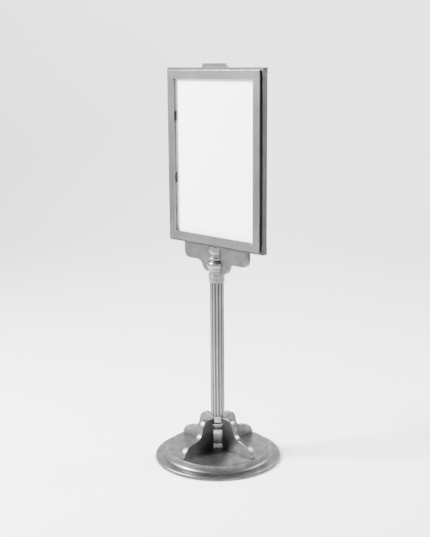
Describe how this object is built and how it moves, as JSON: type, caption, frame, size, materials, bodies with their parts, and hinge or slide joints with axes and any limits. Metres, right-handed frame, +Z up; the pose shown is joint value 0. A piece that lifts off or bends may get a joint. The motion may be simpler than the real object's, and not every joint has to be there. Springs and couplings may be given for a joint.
{
  "type": "sign stand",
  "caption": "Free-standing poster stand: a framed portrait sign on a fluted column with ogee fins and a round stepped foot; the poster insert lifts out at the top.",
  "frame": {"origin": "on the floor, in the middle of the round foot, under the column's axis", "axes": "+Z up along the column; the sign stands in the XZ plane, +X to the right of a viewer who faces the sign, whose face looks along -Y"},
  "size_m": [0.4862, 0.4862, 1.4937],
  "materials": {
    "cast_aluminium": "satin cast, anodised gunmetal, edges rubbed bright",
    "turned_aluminium": "fine turned satin, anodised light gunmetal",
    "column_aluminium": "satin extrusion, anodised light gunmetal, dark flutes",
    "frame_aluminium": "satin, anodised gunmetal, brushed along each length",
    "back_panel_white": "fine powder coat",
    "ballast_iron": "raw casting",
    "zinc_steel": "zinc plated",
    "floor_rubber": "matte",
    "pad_nylon": "moulded",
    "poster_paper": "uncoated white paper",
    "clear_acrylic": "clear, polished",
    "backing_board": "smooth grey board"
  },
  "bodies": {
    "stand": {"base_plinth": "cast_aluminium", "fin_right": "cast_aluminium", "fin_back": "cast_aluminium", "fin_left": "cast_aluminium", "fin_front": "cast_aluminium", "wing_left": "cast_aluminium", "wing_right": "cast_aluminium", "lower_hub": "turned_aluminium", "lower_collar": "turned_aluminium", "upper_collar": "turned_aluminium", "neck_bell": "turned_aluminium", "neck_ring": "turned_aluminium", "neck_block": "turned_aluminium", "fluted_column": "column_aluminium", "front_bezel": "frame_aluminium", "top_rail": "frame_aluminium", "bottom_rail": "frame_aluminium", "left_rail": "frame_aluminium", "right_rail": "frame_aluminium", "back_panel": "back_panel_white", "ballast_weight": "ballast_iron", "underside_plate": "zinc_steel", "bottom_washer": "zinc_steel", "bottom_nut": "zinc_steel", "top_nut": "zinc_steel", "tie_rod": "zinc_steel", "plate_screw_1": "zinc_steel", "plate_screw_2": "zinc_steel", "plate_screw_3": "zinc_steel", "fin_bolt_right_inner": "zinc_steel", "fin_bolt_right_outer": "zinc_steel", "fin_bolt_back_inner": "zinc_steel", "fin_bolt_back_outer": "zinc_steel", "fin_bolt_left_inner": "zinc_steel", "fin_bolt_left_outer": "zinc_steel", "fin_bolt_front_inner": "zinc_steel", "fin_bolt_front_outer": "zinc_steel", "wing_screw_left_inner": "zinc_steel", "wing_screw_left_outer": "zinc_steel", "wing_screw_right_inner": "zinc_steel", "wing_screw_right_outer": "zinc_steel", "bezel_screw_lower_left": "zinc_steel", "bezel_screw_upper_left": "zinc_steel", "bezel_screw_lower_right": "zinc_steel", "bezel_screw_upper_right": "zinc_steel", "corner_key_bottom_left": "zinc_steel", "corner_key_top_left": "zinc_steel", "corner_key_bottom_right": "zinc_steel", "corner_key_top_right": "zinc_steel", "rubber_floor_ring": "floor_rubber", "guide_pad_lower_left": "pad_nylon", "guide_pad_upper_left": "pad_nylon", "guide_pad_lower_right": "pad_nylon", "guide_pad_upper_right": "pad_nylon"},
    "poster_insert": {"pull_bar": "frame_aluminium", "acrylic_pane": "clear_acrylic", "poster_sheet": "poster_paper", "backing_board": "backing_board", "bottom_channel": "frame_aluminium"}
  },
  "joints": [
    {"name": "insert_lift", "type": "slide", "parent": "stand", "child": "poster_insert", "axis": [0, 0, 1], "range_m": [0, 0.6]}
  ]
}
